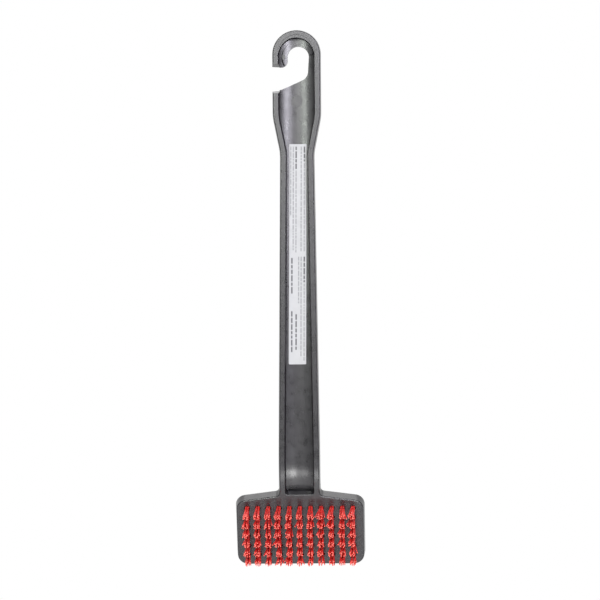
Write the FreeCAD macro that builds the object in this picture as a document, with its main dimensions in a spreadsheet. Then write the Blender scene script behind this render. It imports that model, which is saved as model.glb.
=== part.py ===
import FreeCAD, Part
import math
import os
import Sketcher

# Grill cleaning brush, in millimetres, in its hanging pose: +Z runs up the handle to the hook, the
# bristles and the open side of the handle face -Y, and the hook's mouth opens to -X. The origin is
# the centre of the hook's round seat, halfway through the hook's floor.

COLUMNS = 11
ROWS = 6

SIZES = {
    # Hook and grip. Heights are along Z from the seat's centre.
    "seat_radius": 9.1,
    "centreline_x": -1.5,
    "grip_width": 40.4,
    "hook_centre_z": 2.4,
    "grip_end_z": -51.0,
    "neck_start_z": -82.0,
    "waist_radius": 40.0,
    # Handle, which widens evenly from the waist to the head.
    "neck_start_width": 28.0,
    "neck_width": 34.2,
    "flare_radius": 300.0,
    "bend_start_z": -349.3,
    "straight_above_bend": 9.3,
    "bend_radius": 50.0,
    "head_tilt": 25.0,
    # Section of the moulding: rims at the front, a crowned back and a hollow floor.
    "rim_front": 9.7,
    "handle_depth": 11.4,
    "crown_radius": 90.0,
    "outer_draft": 5.2,
    "rim_width": 4.8,
    "floor_thickness": 2.6,
    "floor_radius": 40.0,
    "channel_draft": 6.0,
    "channel_end": 5.6,
    "channel_corner": 2.6,
    "end_groove_width": 1.7,
    "end_groove_depth": 0.7,
    # Hook cavity and mouth.
    "hook_cavity_z": 1.3,
    "hook_step_inset": 0.2,
    "hook_step_z": 3.9,
    "hook_step_depth": 1.0,
    "mouth_tip_z": -8.7,
    "mouth_tip_radius": 5.5,
    "mouth_lip_z": -27.9,
    "mouth_lip_inset": 7.0,
    "mouth_corner_z": -17.7,
    "mouth_corner_inset": 1.1,
    "mouth_corner_radius": 8.4,
    "mouth_fall": 2.0,
    "mouth_draft": 13.0,
    "mouth_draft_inset": 5.6,
    "pad_width": 4.3,
    "pad_height": 3.0,
    "pad_end_z": 4.0,
    # Head plate, in its own tilted plane. Drops are measured down the face from the bend's end.
    "head_width": 109.3,
    "head_depth": 10.6,
    "shoulder_drop": 6.9,
    "shoulder_fall": 5.3,
    "head_drop": 73.3,
    "neck_fillet": 4.3,
    "head_top_corner": 8.2,
    "head_bottom_corner": 9.0,
    # Edge rounding.
    "rim_rounding": 1.1,
    "back_rounding": 1.4,
    "lip_rounding": 0.7,
    # Tufts and their anchors.
    "tuft_side_margin": 9.15,
    "tuft_bottom_margin": 9.5,
    "first_row_drop": 18.6,
    "hole_radius": 2.5,
    "hole_depth": 8.0,
    "tuft_foot_gap": 0.1,
    "tuft_clearance": 0.35,
    "tuft_splay": 0.95,
    "bristle_length": 16.8,
    "anchor_bite": 0.3,
    "anchor_width": 1.9,
    "anchor_thickness": 0.45,
    "anchor_lift": 0.9,
    # Care label on the channel's floor.
    "label_side_gap": 1.4,
    "label_thickness": 0.15,
    "label_above_neck_start": 7.5,
    "label_above_bend": 85.8,
    "label_top_x": 0.4,
    "label_bottom_x": -0.9,
    # Round moulding marks in the floor.
    "mark_depth": 0.6,
    "grip_mark_above_waist": 13.5,
    "grip_mark_radius": 4.9,
    "dial_above_bend": 63.3,
    "dial_radius": 3.9,
    "dial_hub_radius": 1.3,
    "ring_above_bend": 45.3,
    "ring_radius": 4.7,
    "hook_mark_x": -12.5,
    "hook_mark_radius": 1.9,
    "hook_mark_depth": 0.25,
}

doc = FreeCAD.newDocument("grill_brush")
sheet = doc.addObject("Spreadsheet::Sheet", "sizes")
for row, (alias, value) in enumerate(SIZES.items(), start=1):
    sheet.set(f"A{row}", alias)
    sheet.set(f"B{row}", str(value))
    sheet.setAlias(f"B{row}", alias)
doc.recompute()

# Places worked out from the sheet, as expressions that the objects are bound to.
BEND_AXIS_Y = "(sizes.bend_radius - sizes.rim_front)"
HEAD_Y = "(sizes.bend_radius * (1 - cos(sizes.head_tilt)) - sizes.rim_front)"
HEAD_Z = "(sizes.bend_start_z - sizes.bend_radius * sin(sizes.head_tilt))"
FRONT_Y = "(-sizes.rim_front)"
FLARE_END_Z = "(sizes.bend_start_z + sizes.straight_above_bend)"
CHANNEL_DEPTH = "(sizes.handle_depth - sizes.floor_thickness)"
GRIP_LEFT_X = "(sizes.centreline_x - sizes.grip_width / 2)"
STEP_RADIUS = "(sizes.grip_width / 2 - sizes.rim_width - sizes.hook_step_inset)"
PAD_RADIUS = "(sizes.seat_radius + sizes.pad_width)"
TUFT_ROOT = "(sizes.hole_radius - sizes.tuft_clearance)"
ANCHOR_LENGTH = "(2 * (sizes.hole_radius + sizes.anchor_bite))"
ACROSS_TUFTS = "(sizes.head_width - 2 * sizes.tuft_side_margin)"
DOWN_TUFTS = "(sizes.head_drop - sizes.first_row_drop - sizes.tuft_bottom_margin)"
LABEL_WIDTH = "(sizes.neck_start_width - 2 * (sizes.rim_width + sizes.label_side_gap))"

XZ_TURN = FreeCAD.Rotation(FreeCAD.Vector(1, 0, 0), 90)
X_AXIS = FreeCAD.Vector(1, 0, 0)
NO_TURN = FreeCAD.Rotation()


def value_of(expression):
    """Returns an expression of the sheet's cells as a number."""
    result = sheet.evalExpression(expression)
    return float(getattr(result, "Value", result))


def bind(thing, **expressions):
    """Binds properties of an object to the sheet; two underscores stand for a dot."""
    for name, expression in expressions.items():
        thing.setExpression(name.replace("__", "."), expression)


def place(thing, x="0", y="0", z="0", rotation=NO_TURN):
    """Turns an object, and binds the place of its origin to the sheet."""
    thing.Placement = FreeCAD.Placement(FreeCAD.Vector(0, 0, 0), rotation)
    bind(thing, Placement__Base__x=x, Placement__Base__y=y, Placement__Base__z=z)


def place_on_head(thing, x="sizes.centreline_x", depth="0", drop="0", turn="0"):
    """Turns an object with the head, and puts its origin at a place on the head's face."""
    tilt = "sizes.head_tilt"
    thing.Placement = FreeCAD.Placement(FreeCAD.Vector(0, 0, 0), FreeCAD.Rotation(X_AXIS, 1))
    bind(
        thing,
        Placement__Rotation__Angle=f"{tilt} + {turn}",
        Placement__Base__x=x,
        Placement__Base__y=f"{HEAD_Y} + ({drop}) * sin({tilt}) + ({depth}) * cos({tilt})",
        Placement__Base__z=f"{HEAD_Z} - ({drop}) * cos({tilt}) + ({depth}) * sin({tilt})",
    )


def fix_point(sketch, geometry, position, x, y):
    """Holds one point of a sketch at a place given by two expressions."""
    for kind, expression in (("DistanceX", x), ("DistanceY", y)):
        index = sketch.addConstraint(Sketcher.Constraint(kind, geometry, position, value_of(expression)))
        sketch.setExpression(f"Constraints[{index}]", expression)


def corner_arc(before, corner, after, radius):
    """Returns the arc that rounds a corner, and whether it runs the same way as the outline."""
    arriving = (corner - before).normalize()
    leaving = (after - corner).normalize()
    turn = math.atan2(arriving.x * leaving.y - arriving.y * leaving.x, arriving.dot(leaving))
    reach = radius * math.tan(abs(turn) / 2)
    start = corner - arriving * reach
    side = math.copysign(1, turn)
    centre = start + FreeCAD.Vector(-arriving.y, arriving.x, 0) * (radius * side)
    end = corner + leaving * reach
    first, last = (start, end) if side > 0 else (end, start)
    angles = [math.atan2(point.y - centre.y, point.x - centre.x) for point in (first, last)]
    circle = Part.Circle(centre, FreeCAD.Vector(0, 0, 1), radius)
    return Part.ArcOfCircle(circle, *angles), start, end, side > 0


def draw_outline(sketch, corners, round_top=None):
    """Draws a closed outline, counterclockwise, with every size held by the sheet.

    corners holds (x, y, radius) expressions, where a radius of None is a sharp corner. With
    round_top, the side from the last corner to the first is an arc whose centre has that height.
    """
    points = [FreeCAD.Vector(value_of(x), value_of(y), 0) for x, y, radius in corners]
    count = len(corners)
    starts, ends, arcs = list(points), list(points), {}
    for i, (x, y, radius) in enumerate(corners):
        if radius is None:
            continue
        arc, ends[i], starts[i], forward = corner_arc(
            points[i - 1], points[i], points[(i + 1) % count], value_of(radius)
        )
        arcs[i] = (sketch.addGeometry(arc, False), forward)
        index = sketch.addConstraint(Sketcher.Constraint("Radius", arcs[i][0], value_of(radius)))
        sketch.setExpression(f"Constraints[{index}]", radius)
    sides = []
    for i in range(count):
        start, end = starts[i], ends[(i + 1) % count]
        if round_top is None or i < count - 1:
            sides.append((sketch.addGeometry(Part.LineSegment(start, end), False), 1, 2))
            continue
        centre = FreeCAD.Vector((start.x + end.x) / 2, value_of(round_top), 0)
        angles = [math.atan2(point.y - centre.y, point.x - centre.x) for point in (start, end)]
        circle = Part.Circle(centre, FreeCAD.Vector(0, 0, 1), (start - centre).Length)
        top = sketch.addGeometry(Part.ArcOfCircle(circle, *angles), False)
        index = sketch.addConstraint(Sketcher.Constraint("DistanceY", top, 3, centre.y))
        sketch.setExpression(f"Constraints[{index}]", round_top)
        sides.append((top, 1, 2))
    for i, (x, y, radius) in enumerate(corners):
        before, after = sides[i - 1], sides[i]
        if radius is None:
            sketch.addConstraint(Sketcher.Constraint("Coincident", before[0], before[2], after[0], after[1]))
            fix_point(sketch, after[0], after[1], x, y)
            continue
        arc, forward = arcs[i]
        first, last = (1, 2) if forward else (2, 1)
        sketch.addConstraint(Sketcher.Constraint("Tangent", before[0], before[2], arc, first))
        sketch.addConstraint(Sketcher.Constraint("Tangent", arc, last, after[0], after[1]))
        vertex = sketch.addGeometry(Part.Point(points[i]), True)
        sketch.addConstraint(Sketcher.Constraint("PointOnObject", vertex, 1, before[0]))
        sketch.addConstraint(Sketcher.Constraint("PointOnObject", vertex, 1, after[0]))
        fix_point(sketch, vertex, 1, x, y)


def free_sketch(name, corners, round_top=None):
    """Makes a sketch that belongs to no body, for Part's own extrusions and revolutions."""
    sketch = doc.addObject("Sketcher::SketchObject", name)
    draw_outline(sketch, corners, round_top)
    return sketch


def extrude(name, sketch, length, draft="0"):
    """Extrudes an outline drawn on a front plane into the moulding, opening out by the draft."""
    solid = doc.addObject("Part::Extrusion", name)
    solid.Base = sketch
    solid.DirMode = "Normal"
    solid.Reversed = True
    solid.Solid = True
    bind(solid, LengthFwd=length, TaperAngle=draft)
    return solid


def combine(kind, name, parts):
    """Fuses or intersects several solids."""
    result = doc.addObject(kind, name)
    result.Shapes = parts
    result.Refine = True
    return result


def cut(name, base, tool):
    """Cuts one solid from another."""
    result = doc.addObject("Part::Cut", name)
    result.Base = base
    result.Tool = tool
    result.Refine = True
    return result


def mirrored_corners(half_sides, centre="sizes.centreline_x"):
    """Turns (half width, height, radius) from top to bottom into both sides of an outline."""
    left = [(f"{centre} - ({half})", height, radius) for half, height, radius in half_sides]
    right = [(f"{centre} + ({half})", height, radius) for half, height, radius in reversed(half_sides)]
    return left + right


def cylinder_into(name, radius, length, x, y, z):
    """Makes a cylinder that points from the open side into the moulding."""
    tool = doc.addObject("Part::Cylinder", name)
    bind(tool, Radius=radius, Height=length)
    place(tool, x, y, z, FreeCAD.Rotation(X_AXIS, -90))
    return tool


# Room that each cutting solid has past the faces that it goes through.
PAST = "1"
# An outline's turn from the ground plane to the front, about X.
FACE_TURN = "90"
MASK_HALF = "(sizes.grip_width / 2 + 4)"
MASK_LENGTH = "(sizes.grip_width / 2 + sizes.hook_centre_z + 5 - sizes.bend_start_z)"
CENTRE = "sizes.centreline_x"


def arched_section(name, radius, depth):
    """Draws the section that ends in an arch: a crowned back, or a hollow floor."""
    shoulder = f"{FRONT_Y} + ({depth}) - ({radius}) + sqrt(({radius}) ^ 2 - {MASK_HALF} ^ 2)"
    corners = [
        (f"{CENTRE} - {MASK_HALF}", shoulder, None),
        (f"{CENTRE} - {MASK_HALF}", f"{FRONT_Y} - {PAST} - 4", None),
        (f"{CENTRE} + {MASK_HALF}", f"{FRONT_Y} - {PAST} - 4", None),
        (f"{CENTRE} + {MASK_HALF}", shoulder, None),
    ]
    sketch = free_sketch(name, corners, round_top=f"{FRONT_Y} + ({depth}) - ({radius})")
    place(sketch, z="sizes.bend_start_z")
    return sketch


def flared_section(name, half, depth, draft):
    """Draws the section's straight sides, which open out or close in by the draft."""
    back_half = f"({half}) + ({depth}) * tan({draft})"
    corners = [
        (f"{CENTRE} - ({half})", FRONT_Y, None),
        (f"{CENTRE} + ({half})", FRONT_Y, None),
        (f"{CENTRE} + {back_half}", f"{FRONT_Y} + {depth}", None),
        (f"{CENTRE} - ({back_half})", f"{FRONT_Y} + {depth}", None),
    ]
    sketch = free_sketch(name, corners)
    place(sketch, z="sizes.bend_start_z")
    return sketch


def bend(name, section):
    """Carries a section round the bend between handle and head."""
    solid = doc.addObject("Part::Revolution", name)
    solid.Source = section
    solid.Axis = X_AXIS
    solid.Solid = True
    bind(
        solid,
        Angle="sizes.head_tilt",
        Base__y=BEND_AXIS_Y,
        Base__z="sizes.bend_start_z",
    )
    return solid


def along_handle(name, section):
    """Carries a section straight up the handle, past the top of the hook."""
    solid = doc.addObject("Part::Extrusion", name)
    solid.Base = section
    solid.DirMode = "Normal"
    solid.Solid = True
    bind(solid, LengthFwd=MASK_LENGTH)
    return solid


def handle_outline(name, inset, hook_z):
    """Draws the front outline of hook, grip and handle, set in from the outer edge."""
    half_sides = [
        (f"sizes.grip_width / 2 - ({inset})", hook_z, None),
        (f"sizes.grip_width / 2 - ({inset})", "sizes.grip_end_z", "sizes.waist_radius"),
        (f"sizes.neck_start_width / 2 - ({inset})", "sizes.neck_start_z", "sizes.waist_radius"),
        (f"sizes.neck_width / 2 - ({inset})", FLARE_END_Z, "sizes.flare_radius"),
        (f"sizes.neck_width / 2 - ({inset})", "sizes.bend_start_z - 10", None),
    ]
    sketch = free_sketch(name, mirrored_corners(half_sides), round_top=hook_z)
    place(sketch, y=FRONT_Y, rotation=XZ_TURN)
    return sketch


def bar(name, inset, hook_z, depth, draft, arch_radius, arch_depth):
    """Builds the handle and its bend as one drafted, arched bar: the outside, or the hollow's core."""
    outline = handle_outline(f"{name}_outline", inset, hook_z)
    sides = extrude(f"{name}_sides", outline, depth, draft)
    arch_sketch = arched_section(f"{name}_arch_section", arch_radius, arch_depth)
    flare_sketch = flared_section(f"{name}_flare_section", f"sizes.neck_width / 2 - ({inset})", depth, draft)
    straight = combine(
        "Part::MultiCommon", f"{name}_straight", [sides, along_handle(f"{name}_arch", arch_sketch)]
    )
    bent = combine(
        "Part::MultiCommon",
        f"{name}_bent",
        [bend(f"{name}_bend_sides", flare_sketch), bend(f"{name}_bend_arch", arch_sketch)],
    )
    return combine("Part::MultiFuse", name, [straight, bent])


def is_sharp(shape, edge):
    """Tells whether the two faces beside an edge meet at an angle."""
    middle = edge.discretize(Number=3)[1]
    beside = shape.ancestorsOfType(edge, Part.Face)
    normals = [face.normalAt(*face.Surface.parameter(middle)) for face in beside]
    return len(normals) == 2 and abs(normals[0].dot(normals[1])) < 0.98


def edges_where(shape, wanted):
    """Returns the numbers of the sharp edges whose every sampled point passes a test."""
    numbers = []
    for number, edge in enumerate(shape.Edges, start=1):
        points = edge.discretize(Number=5)
        if edge.Length > 0.05 and all(wanted(point) for point in points) and is_sharp(shape, edge):
            numbers.append(number)
    return numbers


def round_edges(name, base, radius, wanted):
    """Rounds the edges of a solid that pass a test, with a radius from the sheet."""
    doc.recompute()
    size = value_of(radius)
    result = doc.addObject("Part::Fillet", name)
    result.Base = base
    result.Edges = [(number, size, size) for number in edges_where(base.Shape, wanted)]
    doc.recompute()
    return result


def handle_depth_of(point):
    """Returns how far a point lies behind the rims, on the handle, round the bend or on the head."""
    axis_y = value_of(BEND_AXIS_Y)
    start_z = value_of("sizes.bend_start_z")
    if point.z >= start_z:
        return point.y - value_of(FRONT_Y)
    tilt = math.radians(value_of("sizes.head_tilt"))
    across, down = axis_y - point.y, start_z - point.z
    if math.atan2(down, across) <= tilt:
        return value_of("sizes.bend_radius") - math.hypot(across, down)
    y, z = point.y - value_of(HEAD_Y), point.z - value_of(HEAD_Z)
    return y * math.cos(tilt) + z * math.sin(tilt)


def on_rims(point):
    """Tells whether a point lies on the front surface."""
    return abs(handle_depth_of(point)) < 0.01


def head_plate():
    """Builds the brush head's plate, whose sides open out a little towards its back."""
    half = "sizes.head_width / 2"
    half_sides = [
        ("sizes.neck_width / 2", "3", None),
        ("sizes.neck_width / 2", "-sizes.shoulder_drop", "sizes.neck_fillet"),
        (half, "-sizes.shoulder_drop - sizes.shoulder_fall", "sizes.head_top_corner"),
        (half, "-sizes.head_drop", "sizes.head_bottom_corner"),
    ]
    outline = free_sketch("head_outline", mirrored_corners(half_sides, "0"))
    place_on_head(outline, turn=FACE_TURN)
    sides = extrude("head_sides", outline, "sizes.head_depth", "sizes.outer_draft")
    room = doc.addObject("Part::Box", "head_room")
    bind(room, Length="sizes.head_width * 2", Width="sizes.head_depth * 2", Height="sizes.head_drop * 2")
    place_on_head(room, f"{CENTRE} - sizes.head_width", "-sizes.head_depth / 2", "sizes.head_drop * 2")
    plate = combine("Part::MultiCommon", "head_plate", [sides, room])

    def on_back(point):
        return abs(handle_depth_of(point) - value_of("sizes.head_depth")) < 0.01

    return round_edges("head_plate_rounded", plate, "sizes.back_rounding", on_back)


def outer_bar():
    """Builds the outside of hook, grip, handle and bend, with its long back edges rounded."""
    outside = bar(
        "outside",
        inset="0",
        hook_z="sizes.hook_centre_z",
        depth="(sizes.handle_depth + 1)",
        draft="sizes.outer_draft",
        arch_radius="sizes.crown_radius",
        arch_depth="sizes.handle_depth",
    )
    shallowest = value_of("sizes.handle_depth") * 0.7
    bend_end = value_of("sizes.head_tilt") - 0.1

    def on_crown_edge(point):
        if handle_depth_of(point) < shallowest:
            return False
        down = value_of("sizes.bend_start_z") - point.z
        turned = math.degrees(math.atan2(down, value_of(BEND_AXIS_Y) - point.y))
        return turned < bend_end

    return round_edges("outside_rounded", outside, "sizes.back_rounding", on_crown_edge)


def hollow_core():
    """Builds the solid that fills the hollow: hook cavity, grip, channel and its end in the head."""
    inner = bar(
        "core",
        inset="sizes.rim_width",
        hook_z="sizes.hook_cavity_z",
        depth=f"{CHANNEL_DEPTH} + 1",
        draft="-sizes.channel_draft",
        arch_radius="sizes.floor_radius",
        arch_depth=CHANNEL_DEPTH,
    )
    half = "(sizes.neck_width / 2 - sizes.rim_width)"
    half_sides = [
        (half, "3", None),
        (half, "-sizes.channel_end", "sizes.channel_corner"),
    ]
    outline = free_sketch("core_end_outline", mirrored_corners(half_sides, "0"))
    place_on_head(outline, turn=FACE_TURN)
    sides = extrude("core_end_sides", outline, f"{CHANNEL_DEPTH} + 1", "-sizes.channel_draft")
    arch_sketch = arched_section("core_end_arch_section", "sizes.floor_radius", CHANNEL_DEPTH)
    place_on_head(arch_sketch, x="0", depth="sizes.rim_front")
    arch = doc.addObject("Part::Extrusion", "core_end_arch")
    arch.Base = arch_sketch
    arch.DirMode = "Normal"
    arch.Reversed = True
    arch.Solid = True
    bind(arch, LengthFwd="sizes.channel_end * 2")
    end = combine("Part::MultiCommon", "core_end", [sides, arch])
    return combine("Part::MultiFuse", "core_whole", [inner, end])


def padded_core():
    """Builds the hollow's core without the raised pad, which stays standing on the hook's floor."""
    ring = cylinder_into("pad_ring", PAD_RADIUS, "sizes.handle_depth", "0", FRONT_Y, "0")
    away = doc.addObject("Part::Box", "pad_stop")
    bind(away, Length=f"{PAD_RADIUS} * 2", Width="sizes.handle_depth * 2", Height="sizes.grip_width")
    place(away, "0", f"{FRONT_Y} - {PAST}", "sizes.pad_end_z - sizes.grip_width")
    arc = cut("pad_arc", ring, away)
    middle = "(sizes.seat_radius + sizes.pad_width / 2)"
    end = cylinder_into(
        "pad_end",
        "sizes.pad_width / 2",
        "sizes.handle_depth",
        f"sqrt({middle} ^ 2 - sizes.pad_end_z ^ 2)",
        FRONT_Y,
        "sizes.pad_end_z",
    )
    zone = combine("Part::MultiFuse", "pad_zone", [arc, end])
    height = "sizes.pad_height"
    arch = along_handle(
        "pad_arch",
        arched_section("pad_arch_section", f"sizes.floor_radius - {height}", f"{CHANNEL_DEPTH} - {height}"),
    )
    return cut("core_padded", hollow_core(), cut("pad", zone, arch))


def hook_step():
    """Builds the cutter for the shallow step inside the top of the hook's rim."""
    depth = "sizes.hook_step_depth"
    return cylinder_into("hook_step", STEP_RADIUS, depth, CENTRE, FRONT_Y, "sizes.hook_step_z")


def mouth_cutters():
    """Builds the solids that open the hook: its mouth, and the slopes on the rim's two cut ends."""
    seat = "sizes.seat_radius"
    clear_x = f"({GRIP_LEFT_X} - 4)"
    corners = [
        (f"-{seat}", "0", None),
        (f"-{seat}", "sizes.mouth_tip_z", "sizes.mouth_tip_radius"),
        (clear_x, "sizes.mouth_tip_z", None),
        (clear_x, "sizes.mouth_lip_z - sizes.mouth_fall", None),
        (f"{GRIP_LEFT_X} + sizes.mouth_lip_inset", "sizes.mouth_lip_z", None),
        (f"{seat} - sizes.mouth_corner_inset", "sizes.mouth_corner_z", "sizes.mouth_corner_radius"),
        (seat, "0", None),
    ]
    outline = free_sketch("mouth_outline", corners, round_top="0")
    place(outline, y=f"{FRONT_Y} - {PAST}", rotation=XZ_TURN)
    mouth = extrude("mouth", outline, f"sizes.handle_depth + 2 * {PAST}")
    rise = "sizes.handle_depth * tan(sizes.mouth_draft)"
    tip = sloped_end("tip_slope", clear_x, "sizes.mouth_tip_z - 1", f"1 + {rise}", "1")
    lip_z = "sizes.mouth_lip_z - sizes.mouth_fall / 4"
    lip = sloped_end("lip_slope", clear_x, f"{lip_z} - {rise}", f"{rise} + 3", "3")
    bind(lip, Z2min=rise, Z2max=f"{rise} + 3")
    return [mouth, tip, lip]


def sloped_end(name, x, z, front_height, back_height):
    """Builds a wedge that slopes the end of the rim, so that the moulding leaves its tool."""
    wedge = doc.addObject("Part::Wedge", name)
    bind(
        wedge,
        Xmin="0",
        X2min="0",
        Xmax=f"{GRIP_LEFT_X} + sizes.mouth_draft_inset - {x}",
        X2max=f"{GRIP_LEFT_X} + sizes.mouth_draft_inset - {x}",
        Ymin="0",
        Ymax="sizes.handle_depth",
        Zmin="0",
        Z2min="0",
        Zmax=front_height,
        Z2max=back_height,
    )
    place(wedge, x, FRONT_Y, z)
    return wedge


def floor_mark(name, radius, depth, x, z):
    """Builds the cutter for one round mark, as deep below the hollow's floor as given."""
    above = "6"
    top = f"{FRONT_Y} + {CHANNEL_DEPTH} - {above}"
    return cylinder_into(name, radius, f"{above} + ({depth})", x, top, z)


def end_groove():
    """Builds the cutter for the groove across the hollow's floor, in front of its end wall."""
    half = "(sizes.neck_width / 2 - sizes.rim_width - sizes.channel_corner)"
    groove = doc.addObject("Part::Box", "end_groove")
    bind(groove, Length=f"2 * {half}", Width="3 + sizes.end_groove_depth", Height="sizes.end_groove_width")
    place_on_head(groove, f"{CENTRE} - {half}", f"{CHANNEL_DEPTH} - 3", "sizes.channel_end")
    return groove


def floor_marks():
    """Builds the shallow round marks that the moulding tool leaves in the hollow's floor."""
    deep = "sizes.mark_depth"
    grip_z = "sizes.grip_end_z + sizes.grip_mark_above_waist"
    ring_z = "sizes.bend_start_z + sizes.ring_above_bend"
    dial_z = "sizes.bend_start_z + sizes.dial_above_bend"
    dial = floor_mark("dial_disc", "sizes.dial_radius", deep, CENTRE, dial_z)
    hub = floor_mark("dial_hub", "sizes.dial_hub_radius", deep, CENTRE, dial_z)
    # On the hook's arm the arched floor lies nearer the front, by the arch's rise at that place.
    reach = f"({CENTRE} - sizes.hook_mark_x)"
    rise = f"(sizes.floor_radius - sqrt(sizes.floor_radius ^ 2 - {reach} ^ 2))"
    arm_depth = f"sizes.hook_mark_depth - {rise} - sizes.pad_height"
    return [
        floor_mark("grip_mark", "sizes.grip_mark_radius", deep, CENTRE, grip_z),
        floor_mark("ring_mark", "sizes.ring_radius", deep, CENTRE, ring_z),
        floor_mark("hook_mark", "sizes.hook_mark_radius", arm_depth, "sizes.hook_mark_x", "0"),
        cut("dial_mark", dial, hub),
    ]


def local_plane(body, role):
    """Returns one of a body's own origin planes or axes."""
    return next(feature for feature in body.Origin.OriginFeatures if feature.Role == role)


def body_sketch(body, name, corners, plane="XY_Plane"):
    """Draws an outline on one of a body's own origin planes."""
    sketch = body.newObject("Sketcher::SketchObject", name)
    sketch.AttachmentSupport = [(local_plane(body, plane), "")]
    sketch.MapMode = "FlatFace"
    draw_outline(sketch, corners)
    return sketch


def turned(body, name, profile):
    """Turns a profile about the body's own Y axis."""
    feature = body.newObject("PartDesign::Revolution", name)
    feature.Profile = profile
    feature.ReferenceAxis = (local_plane(body, "Y_Axis"), [""])
    feature.Angle = 360
    return feature


def flat_bar(body, kind, name, near, far):
    """Adds or cuts a flat bar across the hole, as thick and as long as an anchor's wire."""
    half = "sizes.anchor_thickness / 2"
    corners = [(f"-{half}", near, None), (half, near, None), (half, far, None), (f"-{half}", far, None)]
    feature = body.newObject(kind, name)
    feature.Profile = body_sketch(body, f"{name}_outline", corners)
    feature.Midplane = True
    bind(feature, Length=ANCHOR_LENGTH)
    return feature


def repeat_rows(body, originals, columns=None):
    """Repeats features down the rows, and across the columns as well where a count is given."""
    pattern = body.newObject("PartDesign::LinearPattern", f"{body.Name}_rows")
    pattern.Originals = originals
    pattern.Direction = (local_plane(body, "Z_Axis"), [""])
    pattern.Reversed = True
    pattern.Occurrences = ROWS
    bind(pattern, Length=DOWN_TUFTS)
    if columns:
        pattern.Direction2 = (local_plane(body, "X_Axis"), [""])
        pattern.Occurrences2 = columns
        bind(pattern, Length2=ACROSS_TUFTS)
    body.Tip = pattern


def column_x(column):
    """Returns the place of a column of tufts across the head; columns count from 1 at the left."""
    return f"{CENTRE} + {ACROSS_TUFTS} * {(column - 1) / (COLUMNS - 1) - 0.5}"


ANCHOR_FAR = "sizes.hole_depth - sizes.anchor_lift"
ANCHOR_NEAR = f"{ANCHOR_FAR} - sizes.anchor_width"


def hole_cutter():
    """Builds the cutter for every tuft hole, with the slit that its anchor is driven down."""
    body = doc.addObject("PartDesign::Body", "hole_cutter")
    corners = [
        ("0", f"-{PAST}", None),
        ("sizes.hole_radius", f"-{PAST}", None),
        ("sizes.hole_radius", "sizes.hole_depth", None),
        ("0", "sizes.hole_depth", None),
    ]
    bore = turned(body, "bore", body_sketch(body, "bore_profile", corners))
    slit = flat_bar(body, "PartDesign::Pad", "slit", f"-{PAST}", ANCHOR_FAR)
    doc.recompute()
    repeat_rows(body, [bore, slit], COLUMNS)
    place_on_head(body, x=column_x(1), drop="sizes.first_row_drop")
    return body


def tuft_column(column):
    """Builds one column of tufts, each folded round the place of its anchor."""
    body = doc.addObject("PartDesign::Body", f"tuft_column_{column:02d}")
    foot = "(sizes.hole_depth - sizes.tuft_foot_gap)"
    corners = [
        ("0", "-sizes.bristle_length", None),
        (f"{TUFT_ROOT} + sizes.tuft_splay", "-sizes.bristle_length", None),
        (TUFT_ROOT, "0", None),
        (TUFT_ROOT, foot, None),
        ("0", foot, None),
    ]
    tuft = turned(body, f"tuft_{column:02d}", body_sketch(body, f"tuft_profile_{column:02d}", corners))
    slot = flat_bar(body, "PartDesign::Pocket", f"slot_{column:02d}", ANCHOR_NEAR, ANCHOR_FAR)
    doc.recompute()
    repeat_rows(body, [tuft, slot])
    place_on_head(body, x=column_x(column), drop="sizes.first_row_drop")
    return body


def anchor_column(column):
    """Builds the flat wire anchors that hold one column of tufts."""
    body = doc.addObject("PartDesign::Body", f"anchor_column_{column:02d}")
    anchor = flat_bar(body, "PartDesign::Pad", f"anchor_{column:02d}", ANCHOR_NEAR, ANCHOR_FAR)
    doc.recompute()
    repeat_rows(body, [anchor])
    place_on_head(body, x=column_x(column), drop="sizes.first_row_drop")
    return body


def label():
    """Builds the care label, a thin sheet that lies on the hollow floor and leans a little."""
    half = f"{LABEL_WIDTH} / 2"
    top = "sizes.neck_start_z + sizes.label_above_neck_start"
    bottom = "sizes.bend_start_z + sizes.label_above_bend"
    corners = [
        (f"{CENTRE} + sizes.label_top_x - {half}", top, None),
        (f"{CENTRE} + sizes.label_bottom_x - {half}", bottom, None),
        (f"{CENTRE} + sizes.label_bottom_x + {half}", bottom, None),
        (f"{CENTRE} + sizes.label_top_x + {half}", top, None),
    ]
    outline = free_sketch("label_outline", corners)
    place(outline, y=FRONT_Y, rotation=XZ_TURN)
    block = extrude("label_block", outline, f"{CHANNEL_DEPTH} + 1")
    thick = "sizes.label_thickness"
    under = along_handle(
        "label_under", arched_section("label_under_section", "sizes.floor_radius", CHANNEL_DEPTH)
    )
    over = along_handle(
        "label_over",
        arched_section(
            "label_over_section", f"sizes.floor_radius - {thick}", f"{CHANNEL_DEPTH} - {thick}"
        ),
    )
    return cut("label", combine("Part::MultiCommon", "label_down_to_floor", [block, under]), over)


def handle_body():
    """Builds the one moulding: hook, grip, handle, bend and head."""
    blank = combine("Part::MultiFuse", "blank", [outer_bar(), head_plate()])
    rounded = round_edges("blank_rounded", blank, "sizes.rim_rounding", on_rims)
    hollowed = cut("hollowed", rounded, padded_core())
    lipped = round_edges("lips_rounded", hollowed, "sizes.lip_rounding", on_rims)
    cutters = [hook_step(), *mouth_cutters(), *floor_marks(), end_groove()]
    opened = cut("opened", lipped, combine("Part::MultiFuse", "cutters", cutters))
    return cut("handle_body", opened, hole_cutter())


def check(thing):
    """Stops the build if an object failed, or if its shape is missing or not sound."""
    if any(word in thing.State for word in ("Invalid", "Error")):
        raise RuntimeError(f"{thing.Name} failed: {thing.State}")
    if hasattr(thing, "Shape") and thing in nodes and (thing.Shape.isNull() or not thing.Shape.isValid()):
        raise RuntimeError(f"{thing.Name} has no sound shape")


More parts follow.
